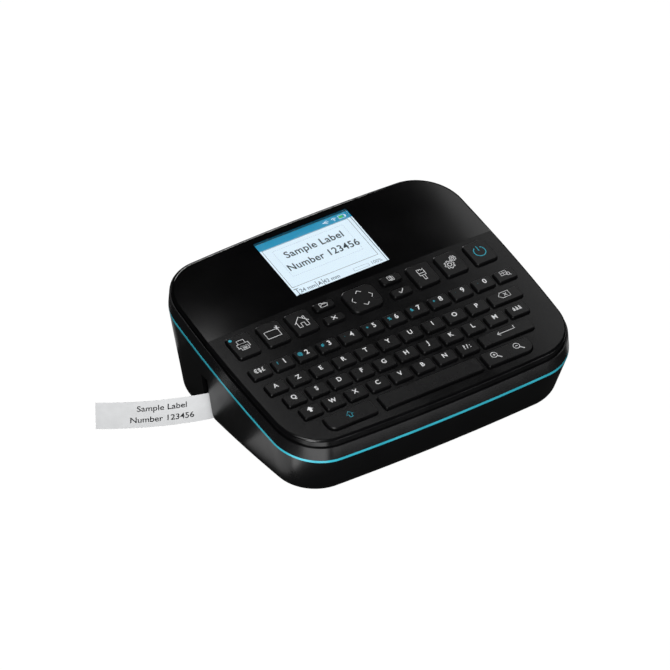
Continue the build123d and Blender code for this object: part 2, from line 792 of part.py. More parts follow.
blade_x = cassette_left - 16.0
blade_thickness = 0.6
cut_gap = 0.9
with BuildPart() as tape_leader:
    leader_left = blade_x + blade_thickness / 2 + cut_gap
    with BuildSketch(Plane.XY.offset(tape_bottom + 0.1)):
        with Locations(((leader_left + roll_centre[0]) / 2, tape_y)):
            Rectangle(roll_centre[0] - leader_left, tape_thickness)
    extrude(amount=tape_width - 0.2)
finish(tape_leader.part, "tape_leader")

label_start = (blade_x - blade_thickness / 2 - cut_gap, tape_y)
bend_inset = 11.2  # the label leaves the mechanism straight until this far inside the body's side
label_straight = label_start[0] + body_width / 2 - bend_inset
exit_bend_radius = 26.0
exit_bend = 17.0
label_curve_radius = 205.0
label_curve = 18.0
with BuildPart() as printed_label:
    with BuildLine() as label_path:
        first = Line(label_start, (label_start[0] - label_straight, tape_y))
        second = JernArc(first @ 1, first % 1, exit_bend_radius, -exit_bend)
        JernArc(second @ 1, second % 1, label_curve_radius, -label_curve)
    with BuildSketch(Plane(origin=(*label_start, tape_centre_z), x_dir=(0, 1, 0), z_dir=(-1, 0, 0))):
        Rectangle(tape_thickness, tape_width)
    sweep(path=label_path.wires()[0])
finish(printed_label.part, "printed_label")

# ---------------------------------------------------------------- printing mechanism
frame_left = cassette_left - 19.0
frame_right = cassette_left + 19.0
frame_front = -6.0
frame_back = 58.0
frame_top = frame_height + frame_thickness
gear_low = frame_top + 0.5
leg_radius = 2.2
leg_places = [
    (cassette_left - 3.5, -3.5),
    (cassette_left + 14.0, cassette_cover["back"] + leg_radius + 0.8),
    (cassette_left - 2.0, 56.0),
]


def pitch_radius(teeth):
    """Pitch radius of a gear."""
    return tooth_module * teeth / 2


def meet(centre_a, reach_a, centre_b, reach_b, side):
    """Point at given distances from two centres, on the given side of the line between them."""
    gap_x = centre_b[0] - centre_a[0]
    gap_y = centre_b[1] - centre_a[1]
    gap = sqrt(gap_x**2 + gap_y**2)
    along = (reach_a**2 - reach_b**2 + gap**2) / (2 * gap)
    across = side * sqrt(reach_a**2 - along**2)
    return (
        centre_a[0] + (along * gap_x - across * gap_y) / gap,
        centre_a[1] + (along * gap_y + across * gap_x) / gap,
    )


motor_centre = (cassette_left + 8.0, 45.0)
idler_centre = meet(
    platen_centre,
    pitch_radius(platen_teeth + idler_teeth) + mesh_gap,
    motor_centre,
    pitch_radius(idler_teeth + pinion_teeth) + mesh_gap,
    -1,
)
cutter_centre = (blade_x + 2.0 + pitch_radius(cutter_teeth) + mesh_gap, 4.0)


def line_angle(start, end):
    """Direction from one centre to another, in degrees."""
    return degrees(atan2(end[1] - start[1], end[0] - start[0]))


def partner_phase(phase, teeth, partner_teeth, angle):
    """Phase that puts a gap of the partner gear opposite a tooth of the first gear."""
    return angle + 180 + 180 / partner_teeth + (angle - phase) * teeth / partner_teeth


platen_phase = 0.0
idler_phase = partner_phase(platen_phase, platen_teeth, idler_teeth, line_angle(platen_centre, idler_centre))
pinion_phase = partner_phase(idler_phase, idler_teeth, pinion_teeth, line_angle(idler_centre, motor_centre))


def gear_points(teeth, phase):
    """Corner points of a gear with straight-sided teeth, about its own centre."""
    root = pitch_radius(teeth) - 1.2 * tooth_module
    tip = pitch_radius(teeth) + 0.9 * tooth_module
    pitch = 360 / teeth
    corners = []
    for tooth in range(teeth):
        middle = phase + tooth * pitch
        for radius, share in ((root, -0.3), (tip, -0.11), (tip, 0.11), (root, 0.3)):
            angle = radians(middle + share * pitch)
            corners.append((radius * cos(angle), radius * sin(angle)))
    return corners


def gear_sketch(centre, teeth, phase, bore):
    """Gear face with a bore, at its centre, in the sketch that is open."""
    with BuildSketch(mode=Mode.PRIVATE) as face:
        Polygon(*gear_points(teeth, phase), align=None)
        Circle(bore, mode=Mode.SUBTRACT)
    with Locations(centre):
        add(face.sketch)


with BuildPart() as mechanism_frame:
    with BuildSketch(Plane.XY.offset(frame_height)):
        with Locations(((frame_left + frame_right) / 2, (frame_front + frame_back) / 2)):
            RectangleRounded(frame_right - frame_left, frame_back - frame_front, 3.0)
        with Locations((-screw_x, front_screw_y), (-screw_x, rear_screw_y)):
            Circle(boss_radius + 0.4, mode=Mode.SUBTRACT)
        with Locations(platen_centre, motor_centre, cutter_centre):
            Circle(shaft_radius + shaft_clearance, mode=Mode.SUBTRACT)
        with Locations((platen_centre[0], tape_y - 5.0 - head_travel / 2)):
            SlotOverall(3.4 + head_travel, 3.4, rotation=90, mode=Mode.SUBTRACT)
        with Locations((blade_x, 11.5 + blade_travel / 2)):
            Rectangle(3.6, 4.6 + blade_travel, mode=Mode.SUBTRACT)
    extrude(amount=frame_thickness)
    with BuildSketch(Plane.XY.offset(floor_top)):
        with Locations(*leg_places):
            Circle(leg_radius)
    extrude(amount=frame_height - floor_top)
    with BuildSketch(Plane.XY.offset(frame_top)):
        with Locations(idler_centre):
            Circle(shaft_radius)
    extrude(amount=gear_thickness + 1.0)
finish(mechanism_frame.part, "mechanism_frame")

roller_bottom = floor_top + bearing_height + 0.2
with BuildPart() as platen_roller:
    with BuildSketch(Plane.XY.offset(floor_top + 0.1)):
        with Locations(platen_centre):
            Circle(shaft_radius)
    extrude(amount=gear_low + gear_thickness + 0.8 - floor_top)
    with BuildSketch(Plane.XY.offset(roller_bottom)):
        with Locations(platen_centre):
            Circle(roller_radius)
    extrude(amount=widest_tape)
finish(platen_roller.part, "platen_roller")

with BuildPart() as platen_gear:
    with BuildSketch(Plane.XY.offset(gear_low)):
        gear_sketch(platen_centre, platen_teeth, platen_phase, shaft_radius)
    extrude(amount=gear_thickness)
finish(platen_gear.part, "platen_gear")

with BuildPart() as idler_gear:
    with BuildSketch(Plane.XY.offset(gear_low)):
        gear_sketch(idler_centre, idler_teeth, idler_phase, shaft_radius + shaft_clearance)
    extrude(amount=gear_thickness)
finish(idler_gear.part, "idler_gear")

motor_bore_depth = 4.0
rotor_radius = 1.0


def make_motor(name, centre, radius, bottom):
    """Motor can hung under the frame, with a bore for its rotor shaft."""
    with BuildPart() as motor:
        with BuildSketch(Plane.XY.offset(bottom)):
            with Locations(centre):
                Circle(radius)
        extrude(amount=frame_height - bottom)
        chamfer(motor.faces().sort_by(Axis.Z)[0].edges(), 0.8)
        with BuildSketch(Plane.XY.offset(frame_height - motor_bore_depth)):
            with Locations(centre):
                Circle(rotor_radius + shaft_clearance)
        extrude(amount=motor_bore_depth, mode=Mode.SUBTRACT)
    finish(motor.part, name)


def make_pinion(name, centre, teeth, phase):
    """Pinion and the rotor shaft that it is pressed on."""
    with BuildPart() as pinion:
        with BuildSketch(Plane.XY.offset(gear_low)):
            gear_sketch(centre, teeth, phase, rotor_radius / 2)
        extrude(amount=gear_thickness)
        with BuildSketch(Plane.XY.offset(frame_height - motor_bore_depth + 0.2)):
            with Locations(centre):
                Circle(rotor_radius)
        extrude(amount=gear_low + gear_thickness + 0.6 - frame_height + motor_bore_depth - 0.2)
    finish(pinion.part, name)


make_motor("drive_motor", motor_centre, 8.0, 12.0)
make_motor("cutter_motor", cutter_centre, 5.4, 14.0)
make_pinion("motor_pinion", motor_centre, pinion_teeth, pinion_phase)

head_width = 8.0
head_thickness = 3.0
head_face = tape_y - tape_thickness / 2 - 0.08
head_height = widest_tape
with BuildPart() as print_head:
    with BuildSketch(Plane.XY.offset(roller_bottom)):
        with Locations((platen_centre[0], head_face - head_thickness / 2)):
            Rectangle(head_width, head_thickness)
    extrude(amount=head_height)
    chamfer(print_head.faces().sort_by(Axis.Y)[-1].edges().filter_by(Axis.Z), 0.8)
finish(print_head.part, "print_head")

carrier_thickness = 3.2
carrier_y = head_face - head_thickness - carrier_thickness / 2
with BuildPart() as head_carrier:
    with BuildSketch(Plane.XY.offset(roller_bottom)):
        with Locations((platen_centre[0], carrier_y)):
            Rectangle(head_width + 1.0, carrier_thickness)
    extrude(amount=frame_height - 0.3 - roller_bottom)
    with BuildSketch(Plane.XY.offset(frame_height - 0.3)):
        with Locations((platen_centre[0], tape_y - 5.0)):
            Circle(shaft_radius)
    extrude(amount=frame_thickness + 0.3)
finish(head_carrier.part, "head_carrier")

# ---------------------------------------------------------------- cutter
holder_y = 11.5
rack_back = holder_y + 2.0
rack_length = 15.5
rack_pitch = tooth_module * pi
rack_line = blade_x + 2.0
cutter_phase = 180.0
with BuildPart() as cutter_blade:
    with BuildSketch(Plane.XY.offset(roller_bottom)):
        with Locations((blade_x, holder_y)):
            Rectangle(2.8, 4.0)
    extrude(amount=gear_low + gear_thickness - roller_bottom)
    with BuildSketch(Plane.XY.offset(roller_bottom)):
        edge_y = tape_y - blade_gap
        with Locations((blade_x, (holder_y + edge_y) / 2)):
            Rectangle(blade_thickness, edge_y - holder_y)
    extrude(amount=widest_tape)
    with BuildSketch(Plane.XY.offset(gear_low)):
        with Locations(((blade_x - 1.0 + rack_line - 0.6) / 2, rack_back - rack_length / 2)):
            Rectangle(rack_line - 0.6 - blade_x + 1.0, rack_length)
        # straight teeth; a gap lies opposite the pinion's tooth
        count = int(rack_length / rack_pitch / 2)
        for tooth in range(-count + 1, count):
            middle = cutter_centre[1] + (tooth + 0.5) * rack_pitch
            if rack_back - rack_length + 0.6 < middle < rack_back - 0.6:
                Polygon(
                    (rack_line - 0.7, middle - 0.3 * rack_pitch),
                    (rack_line + 0.45, middle - 0.11 * rack_pitch),
                    (rack_line + 0.45, middle + 0.11 * rack_pitch),
                    (rack_line - 0.7, middle + 0.3 * rack_pitch),
                    align=None,
                )
    extrude(amount=gear_thickness)
finish(cutter_blade.part, "cutter_blade")
make_pinion("cutter_pinion", cutter_centre, cutter_teeth, cutter_phase)

chute_right = blade_x - 1.5
chute_length = 1.8
chute_wall = 1.4
chute_half = 0.9
with BuildPart() as label_chute:
    with BuildSketch(Plane.XY.offset(roller_bottom)):
        for side in (-1, 1):
            with Locations((chute_right - chute_length / 2, tape_y + side * (chute_half + chute_wall / 2))):
                Rectangle(chute_length, chute_wall)
    extrude(amount=frame_height - roller_bottom)
    with BuildSketch(Plane.XY.offset(frame_height - 3.0)):
        with Locations((chute_right - chute_length / 2, tape_y)):
            Rectangle(chute_length, 2 * (chute_half + chute_wall))
    extrude(amount=3.0)
finish(label_chute.part, "label_chute")

# ---------------------------------------------------------------- battery and sockets
battery_bottom = foot_stand + cover_thickness + 0.5
battery_centre = (battery_left + battery_width / 2, 0)
with BuildPart() as battery_pack:
    with BuildSketch(Plane.XY.offset(battery_bottom)):
        with Locations(battery_centre):
            RectangleRounded(battery_width, battery_length, 5.0)
    extrude(amount=battery_height)
    fillet(battery_pack.faces().sort_by(Axis.Z)[-1].edges(), 1.5)
finish(battery_pack.part, "battery_pack")

contact_y = battery_cover_box["back"] + 2.6
with BuildPart() as battery_contacts:
    with BuildSketch(Plane.XY.offset(floor_top)):
        with Locations((battery_centre[0], contact_y)):
            Rectangle(30.0, 3.6)
    extrude(amount=12.0)
    for x in (-9.0, 0.0, 9.0):
        with BuildSketch(Plane.XY.offset(floor_top + 4.0)):
            with Locations((battery_centre[0] + x, (contact_y - 1.8 + battery_length / 2 + 0.1) / 2)):
                Rectangle(3.0, contact_y - 1.8 - battery_length / 2 - 0.1)
        extrude(amount=5.0)
finish(battery_contacts.part, "battery_contacts")

io_half = (usb_x - jack_x + 20.0) / 2 - 0.3
io_thickness = 1.6
io_height = 28.0
io_face = io_board_y + io_thickness / 2
with BuildPart() as io_board:
    with BuildSketch(Plane.XY.offset(floor_top + 0.1)):
        with Locations(((jack_x + usb_x) / 2, io_board_y)):
            Rectangle(2 * io_half, io_thickness)
    extrude(amount=io_height)
finish(io_board.part, "io_board")

jack_body = 9.4
jack_body_length = 7.0
with BuildPart() as power_jack:
    with BuildSketch(Plane.XZ.offset(-io_face)):
        with Locations((jack_x, jack_z)):
            Rectangle(jack_body, jack_body)
    extrude(amount=-jack_body_length)
    with BuildSketch(Plane.XZ.offset(-io_face)):
        with Locations((jack_x, jack_z)):
            Circle(jack_radius)
    extrude(amount=-(socket_face_y - io_face))
    with BuildSketch(Plane.XZ.offset(-socket_face_y)):
        with Locations((jack_x, jack_z)):
            Circle(jack_bore)
            Circle(jack_pin, mode=Mode.SUBTRACT)
    extrude(amount=9.0, mode=Mode.SUBTRACT)
finish(power_jack.part, "power_jack")

with BuildPart() as usb_socket:
    with BuildSketch(Plane.XZ.offset(-io_face)):
        with Locations((usb_x, jack_z)):
            RectangleRounded(usb_width, usb_height, 0.8)
    extrude(amount=-(socket_face_y - io_face))
    with BuildSketch(Plane.XZ.offset(-socket_face_y)):
        with Locations((usb_x, jack_z)):
            RectangleRounded(usb_width - 1.2, usb_height - 1.2, 0.4)
            with Locations((0, 0.2)):
                Rectangle(usb_width - 3.0, 0.7, mode=Mode.SUBTRACT)
    extrude(amount=6.0, mode=Mode.SUBTRACT)
finish(usb_socket.part, "usb_socket")
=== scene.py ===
"""Looks of the label maker: finishes, legends, screen picture, printed text, floor, light and camera."""

import math

import bpy
from mathutils import Matrix, Vector


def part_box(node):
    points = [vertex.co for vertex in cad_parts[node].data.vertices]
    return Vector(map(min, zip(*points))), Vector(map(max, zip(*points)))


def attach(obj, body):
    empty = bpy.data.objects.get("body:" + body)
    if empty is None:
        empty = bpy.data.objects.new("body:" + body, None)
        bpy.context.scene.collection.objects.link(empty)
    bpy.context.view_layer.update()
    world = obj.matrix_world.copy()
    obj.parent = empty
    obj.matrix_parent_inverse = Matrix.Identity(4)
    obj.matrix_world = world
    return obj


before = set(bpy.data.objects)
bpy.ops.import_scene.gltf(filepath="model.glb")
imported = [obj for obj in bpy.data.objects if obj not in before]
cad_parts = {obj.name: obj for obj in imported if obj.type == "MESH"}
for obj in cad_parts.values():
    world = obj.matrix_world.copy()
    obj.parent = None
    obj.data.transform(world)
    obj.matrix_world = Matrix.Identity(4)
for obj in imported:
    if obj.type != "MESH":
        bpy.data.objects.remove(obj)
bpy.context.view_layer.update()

# ---------------------------------------------------------------- lower housing
# The tub that stands on the table, injection-moulded in black ABS with a fine spark-eroded
# texture. Four screws from below hold it to the upper parts.
mm = 0.001
tone_drift = 0.15
gloss_drift = 0.03


def new_finish(name, colour, roughness, specular=0.5):
    """Node material with a Principled shader; returns the material and its node tools."""
    finish = bpy.data.materials.new(name)
    finish.use_nodes = True
    tree = finish.node_tree
    shader = tree.nodes["Principled BSDF"]
    shader.inputs["Base Color"].default_value = (*colour, 1.0)
    shader.inputs["Roughness"].default_value = roughness
    shader.inputs["Specular IOR Level"].default_value = specular
    place = tree.nodes.new("ShaderNodeTexCoord").outputs["Object"]
    return finish, tree, shader, place


def add_noise(tree, place, scale, detail=3.0):
    """Noise pattern on the object's own coordinates; scale is in waves per metre."""
    noise = tree.nodes.new("ShaderNodeTexNoise")
    noise.inputs["Scale"].default_value = scale
    noise.inputs["Detail"].default_value = detail
    tree.links.new(place, noise.inputs["Vector"])
    return noise.outputs["Fac"]


def vary_colour(tree, shader, pattern, dark, light):
    """Base colour that drifts between two tones over a pattern."""
    ramp = tree.nodes.new("ShaderNodeValToRGB")
    ramp.color_ramp.elements[0].position = 0.3
    ramp.color_ramp.elements[0].color = (*dark, 1.0)
    ramp.color_ramp.elements[1].position = 0.7
    ramp.color_ramp.elements[1].color = (*light, 1.0)
    tree.links.new(pattern, ramp.inputs["Fac"])
    tree.links.new(ramp.outputs["Color"], shader.inputs["Base Color"])


def vary_roughness(tree, shader, pattern, low, high):
    """Roughness that drifts between two values over a pattern."""
    spread = tree.nodes.new("ShaderNodeMapRange")
    spread.inputs["From Min"].default_value = 0.3
    spread.inputs["From Max"].default_value = 0.7
    spread.inputs["To Min"].default_value = low
    spread.inputs["To Max"].default_value = high
    tree.links.new(pattern, spread.inputs["Value"])
    tree.links.new(spread.outputs["Result"], shader.inputs["Roughness"])


def add_bump(tree, shader, pattern, height, strength=1.0):
    """Fine relief from a pattern, with its height in metres."""
    bump = tree.nodes.new("ShaderNodeBump")
    bump.inputs["Strength"].default_value = strength
    bump.inputs["Distance"].default_value = height
    tree.links.new(pattern, bump.inputs["Height"])
    tree.links.new(bump.outputs["Normal"], shader.inputs["Normal"])


def moulded_plastic(name, colour, roughness, grain, relief, specular=0.5):
    """Injection-moulded plastic: eroded grain, slight tone and gloss drift."""
    finish, tree, shader, place = new_finish(name, colour, roughness, specular)
    drift = add_noise(tree, place, 60.0, 4.0)
    fine = add_noise(tree, place, grain, 2.0)
    darker = tuple((1 - tone_drift) * channel for channel in colour)
    lighter = tuple((1 + tone_drift) * channel for channel in colour)
    vary_colour(tree, shader, drift, darker, lighter)
    vary_roughness(tree, shader, drift, roughness - gloss_drift, roughness + gloss_drift)
    add_bump(tree, shader, fine, relief)
    return finish


def dress(finish, *node_names):
    """Gives CAD nodes one finish."""
    for node_name in node_names:
        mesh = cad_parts[node_name].data
        mesh.materials.clear()
        mesh.materials.append(finish)


shell_black = moulded_plastic("shell_black", (0.003, 0.003, 0.0033), 0.30, 2600.0, 0.000008, 0.4)
dress(shell_black, "lower_housing", "cassette_cover", "battery_cover")

# ---------------------------------------------------------------- non-slip ring
# A soft rubber ring glued in a groove under the tub, so that the keyboard doesn't slide on the
# table while someone types.
ring_rubber = moulded_plastic("ring_rubber", (0.02, 0.02, 0.021), 0.75, 1500.0, 0.00002, 0.3)
dress(ring_rubber, "non_slip_ring")

# ---------------------------------------------------------------- accent strip
# A bright blue-green strip trapped between the two housings, moulded in glossy coloured plastic.
# It also carries a faint painted glow in its own colour, and shows as a thin line all round the body.
strip_colour = (0.035, 0.42, 0.53)
accent, accent_tree, accent_shader, accent_place = new_finish("accent_gloss", strip_colour, 0.22)
accent_drift = add_noise(accent_tree, accent_place, 90.0)
vary_colour(accent_tree, accent_shader, accent_drift, (0.03, 0.37, 0.47), (0.05, 0.48, 0.60))
vary_roughness(accent_tree, accent_shader, accent_drift, 0.18, 0.26)
# painted glow: the strip gives off a little light of its own colour, though it is no lamp, so that it reads
# brighter
accent_shader.inputs["Emission Color"].default_value = (*strip_colour, 1.0)
accent_shader.inputs["Emission Strength"].default_value = 0.12
dress(accent, "accent_strip")

# ---------------------------------------------------------------- upper housing
# The band round the top, moulded in black ABS with a half-gloss polish. The keyboard fascia and
# the display panel snap down inside its rim.
band_black = moulded_plastic("band_black", (0.006, 0.006, 0.0065), 0.24, 3000.0, 0.000003, 0.4)
dress(band_black, "upper_housing")

# ---------------------------------------------------------------- keyboard fascia
# The front half of the top face, a thin plate with an opening for every key. Its texture is a
# fine satin grain that spreads the light into a soft sheen.
fascia_black = moulded_plastic("fascia_black", (0.003, 0.003, 0.0033), 0.19, 3400.0, 0.000008, 0.3)
dress(fascia_black, "keyboard_fascia")

# ---------------------------------------------------------------- display panel
# The rear half of the top face, polished piano-black, with the screen set flush in it. Handling
# leaves faint hairlines and slight unevenness in its gloss.
piano, piano_tree, piano_shader, piano_place = new_finish("piano_black", (0.0018, 0.0018, 0.002), 0.10)
piano_drift = add_noise(piano_tree, piano_place, 25.0)
vary_roughness(piano_tree, piano_shader, piano_drift, 0.09, 0.12)
vary_colour(piano_tree, piano_shader, piano_drift, (0.0014, 0.0014, 0.0016), (0.002, 0.002, 0.0022))
add_bump(piano_tree, piano_shader, add_noise(piano_tree, piano_place, 120.0), 0.000004)
dress(piano, "display_panel")

# ---------------------------------------------------------------- screen lens and screen picture
# A clear acrylic window bonded flush into the panel, over a backlit colour liquid-crystal module
# that shows the label being edited, its size and the battery state.
deck_tilt = math.radians(11.5)
deck_height = 60.7 * mm
deck_frame = Matrix.Translation((0, 0, deck_height)) @ Matrix.Rotation(deck_tilt, 4, "X")
deck_inverse = deck_frame.inverted()


def deck_spot(node_name):
    """Centre of a CAD node, measured across and up the deck."""
    low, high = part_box(node_name)
    spot = deck_inverse @ ((low + high) / 2)
    return spot.x, spot.y


clear, clear_tree, clear_shader, clear_place = new_finish("clear_window", (0.96, 0.98, 1.0), 0.04)
clear_shader.inputs["Transmission Weight"].default_value = 1.0
clear_shader.inputs["IOR"].default_value = 1.1
vary_roughness(clear_tree, clear_shader, add_noise(clear_tree, clear_place, 30.0), 0.0, 0.002)
dress(clear, "screen_lens")


def backlit(name, colour, strength):
    """Lit picture colour of the screen, with the slight mottle of its diffuser."""
    finish, tree, shader, place = new_finish(name, (0.02, 0.02, 0.02), 0.4)
    mottle = add_noise(tree, place, 150.0)
    ramp = tree.nodes.new("ShaderNodeValToRGB")
    ramp.color_ramp.elements[0].color = (*(0.97 * channel for channel in colour), 1.0)
    ramp.color_ramp.elements[1].color = (*colour, 1.0)
    tree.links.new(mottle, ramp.inputs["Fac"])
    tree.links.new(ramp.outputs["Color"], shader.inputs["Emission Color"])
    shader.inputs["Emission Strength"].default_value = strength
    return finish


picture_pale = backlit("picture_pale", (0.76, 0.89, 0.97), 1.0)
picture_teal = backlit("picture_teal", (0.012, 0.27, 0.46), 1.0)
picture_dark = backlit("picture_dark", (0.02, 0.035, 0.045), 1.0)
picture_grey = backlit("picture_grey", (0.16, 0.22, 0.26), 1.0)
picture_white = backlit("picture_white", (0.95, 0.98, 1.0), 1.0)
picture_green = backlit("picture_green", (0.05, 0.55, 0.08), 1.0)

ink_thickness = 0.02 * mm
capital_share = 0.72  # height of a capital as a share of the text size


def clear_selection():
    """Deselects every object, because an operator acts on all that is selected."""
    bpy.ops.object.select_all(action="DESELECT")


def finish_flat(piece, finish):
    """Turns a text or curve into a thin mesh with one finish."""
    clear_selection()
    piece.select_set(True)
    bpy.context.view_layer.objects.active = piece
    bpy.ops.object.convert(target="MESH")
    piece = bpy.context.view_layer.objects.active
    piece.data.materials.clear()
    piece.data.materials.append(finish)
    return piece


def lettering(text, size, x, y, finish, weight=0.0, squeeze=1.0, spacing=1.0):
    """Flat text about a point, in millimetres, on the XY plane; size is the height of a capital."""
    bpy.ops.object.text_add(location=(0, 0, 0))
    piece = bpy.context.object
    piece.data.body = text
    piece.data.size = size * mm / capital_share
    piece.data.offset = weight
    piece.data.space_character = spacing
    piece.data.align_x = "CENTER"
    piece.data.align_y = "CENTER"
    piece.data.extrude = ink_thickness / 2
    piece.data.resolution_u = 6
    piece = finish_flat(piece, finish)
    heights = [vertex.co.y for vertex in piece.data.vertices]
    middle = (max(heights) + min(heights)) / 2
    piece.data.transform(Matrix.Translation((x * mm, y * mm, 0)) @ Matrix.Diagonal((squeeze, 1, 1, 1))
                         @ Matrix.Translation((0, -middle, 0)))
    return piece


def arc_points(x, y, radius, start, end, count=20):
    """Points of an arc about (x, y), angles in degrees."""
    points = []
    for step in range(count + 1):
        angle = math.radians(start + (end - start) * step / count)
        points.append((x + radius * math.cos(angle), y + radius * math.sin(angle)))
    return points


def line_work(points, width, finish, closed=False, filled=False):
    """Printed line through points, in millimetres, or the filled shape inside them."""
    curve = bpy.data.curves.new("line_work", "CURVE")
    curve.dimensions = "2D" if filled else "3D"
    if filled:
        curve.fill_mode = "BOTH"
        curve.extrude = ink_thickness / 2
    else:
        curve.bevel_depth = width * mm / 2
        curve.bevel_resolution = 1
        curve.use_fill_caps = True
    spline = curve.splines.new("POLY")
    spline.points.add(len(points) - 1)
    for point, (x, y) in zip(spline.points, points):
        point.co = (x * mm, y * mm, 0, 1)
    spline.use_cyclic_u = closed or filled
    piece = bpy.data.objects.new("line_work", curve)
    bpy.context.scene.collection.objects.link(piece)
    piece = finish_flat(piece, finish)
    if not filled:
        flatten = ink_thickness / (width * mm)
        piece.data.transform(Matrix.Diagonal((1, 1, flatten, 1)))
    return piece


def rectangle(x, y, width, height):
    """Corner points of a rectangle about (x, y)."""
    left, right = x - width / 2, x + width / 2
    low, high = y - height / 2, y + height / 2
    return [(left, low), (right, low), (right, high), (left, high)]


def shifted(points, x, y, scale=1.0):
    """Points scaled about the origin and then moved."""
    return [(x + scale * px, y + scale * py) for px, py in points]


def join_pieces(pieces, name):
    """Joins flat pieces into one mesh object with its own name."""
    clear_selection()
    for piece in pieces:
        piece.select_set(True)
    bpy.context.view_layer.objects.active = pieces[0]
    if len(pieces) > 1:
        bpy.ops.object.join()
    joined = bpy.context.view_layer.objects.active
    joined.name = name
    joined.data.name = name
    return joined


lens_low, lens_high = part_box("screen_lens")
screen_x, screen_v = deck_spot("screen_lens")
screen_half_width = (lens_high.x - lens_low.x) / 2 / mm
screen_half_depth = 23.5
picture_width = 2 * screen_half_width - 0.4
picture_height = 2 * screen_half_depth - 0.4
picture_depth = -2.12 * mm
bar_height = 5.4
bar_y = screen_half_depth - bar_height / 2 - 0.2
footer_y = -19.6
footer_size = 2.9
title_weight = 0.00010
footer_weight = 0.00006
layer_step = 1.5 * ink_thickness


def layer(pieces, level):
    """Lifts flat pieces to a layer of the picture, so that one lies clear of the next."""
    for piece in pieces:
        piece.data.transform(Matrix.Translation((0, 0, level * layer_step)))
    return pieces


# background, status bar, editing frame, the label's text and the size read-outs under it
picture = layer([line_work(rectangle(0, 0, picture_width, picture_height), 0, picture_pale, filled=True)], 0)
picture += layer([
    line_work(rectangle(0, bar_y, picture_width, bar_height), 0, picture_teal, filled=True),
    line_work(rectangle(0, 1.1, 60.4, 33.0), 0.36, picture_dark, closed=True),
    lettering("Sample Label", 5.2, 0.6, 8.0, picture_dark, title_weight, 1.02, 1.06),
    lettering("Number 123456", 5.2, 1.0, -1.0, picture_dark, title_weight, 0.98, 1.06),
    lettering("24 mm", footer_size, -22.0, footer_y, picture_grey, footer_weight),
    lettering("42 mm", footer_size, -5.4, footer_y, picture_grey, footer_weight),
    lettering("A", footer_size, -13.4, -19.5, picture_dark, footer_weight),
    line_work([(-15.6, -22.3), (-15.6, -16.9)], 0.35, picture_dark),
    line_work([(-11.2, -22.3), (-11.2, -16.9)], 0.35, picture_dark),
    line_work([(-30.6, -17.2), (-27.4, -17.2)], 0.4, picture_dark),
    line_work([(-30.6, -22.0), (-27.4, -22.0)], 0.4, picture_dark),
    line_work([(-29.0, -22.0), (-29.0, -17.2)], 0.4, picture_dark),
    line_work(rectangle(15.6, -19.8, 10.4, 2.2), 0.25, picture_grey, closed=True),
    lettering("100%", 2.6, 26.2, -19.7, picture_grey),
], 1)

# dashed frame round the text
half_dash = 0.4
dash_pitch = 1.5
dash_width = 0.16
dashed_middle = 3.4
dashed_half_width = 24.8
dashed_half_height = 11.2
for side in (-1, 1):
    row_y = dashed_middle + side * dashed_half_height
    for step in range(-16, 17):
        dash = [(step * dash_pitch - half_dash, row_y), (step * dash_pitch + half_dash, row_y)]
        picture += layer([line_work(dash, dash_width, picture_grey)], 1)
    column_x = side * dashed_half_width
    for step in range(-7, 8):
        dash_y = dashed_middle + step * dash_pitch
        dash = [(column_x, dash_y - half_dash), (column_x, dash_y + half_dash)]
        picture += layer([line_work(dash, dash_width, picture_grey)], 1)

# battery, wireless and cable symbols in the status bar
picture += layer([
    line_work(rectangle(28.0, bar_y, 4.2, 2.5), 0.3, picture_white, closed=True),
    line_work(rectangle(27.5, bar_y, 2.6, 1.6), 0, picture_green, filled=True),
    line_work(rectangle(30.6, bar_y, 0.6, 1.2), 0, picture_white, filled=True),
    line_work(arc_points(22.6, bar_y - 1.2, 1.2, 45, 135, 8), 0.35, picture_white),
    line_work(arc_points(22.6, bar_y - 1.2, 2.2, 45, 135, 8), 0.35, picture_white),
    line_work(rectangle(22.6, bar_y - 1.1, 0.6, 0.6), 0, picture_white, filled=True),
    line_work([(14.6, bar_y), (18.8, bar_y)], 0.35, picture_white),
    line_work([(15.6, bar_y), (17.2, bar_y + 1.0), (18.2, bar_y + 1.0)], 0.3, picture_white),
    line_work([(15.9, bar_y), (17.0, bar_y - 1.0), (18.0, bar_y - 1.0)], 0.3, picture_white),
], 2)
screen_picture = join_pieces(picture, "screen_picture")
screen_picture.data.transform(deck_frame @ Matrix.Translation((screen_x, screen_v, picture_depth)))
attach(screen_picture, "case")

module_colour = (0.35, 0.36, 0.37)
module_metal, module_tree, module_shader, module_place = new_finish("module_metal", module_colour, 0.38)
module_shader.inputs["Metallic"].default_value = 1.0
vary_roughness(module_tree, module_shader, add_noise(module_tree, module_place, 400.0), 0.3, 0.45)
dress(module_metal, "lcd_module")

# ---------------------------------------------------------------- key caps
# Hard plastic caps with a chamfered crown, textured a little coarser than the fascia. Each row
# of letters stands over one silicone mat with a dome under every cap.
cap_black = moulded_plastic("cap_black", (0.004, 0.004, 0.0043), 0.28, 2800.0, 0.000008, 0.35)
single_keys = [
    "print_key", "new_label_key", "home_key", "folder_key", "cancel_key", "insert_key", "ok_key",
    "format_key", "settings_key", "power_key", "backspace_key", "enter_key", "shift_key", "space_key",
    "zoom_key", "navigation_pad",
]
key_rows = ["number_keys", "letter_keys_upper", "letter_keys_middle", "letter_keys_lower"]
dress(cap_black, *single_keys, *key_rows)

# ---------------------------------------------------------------- key legends
# Letters, digits and symbols pad-printed on the caps in white and blue-green ink, a few
# hundredths of a millimetre thick.
key_rise = 1.7 * mm
legend_lift = 0.03 * mm


def ink(name, colour):
    """Pad-printing ink with a slightly uneven edge-to-edge tone."""
    finish, tree, shader, place = new_finish(name, colour, 0.5)
    darker = tuple(0.9 * channel for channel in colour)
    vary_colour(tree, shader, add_noise(tree, place, 900.0), darker, colour)
    return finish


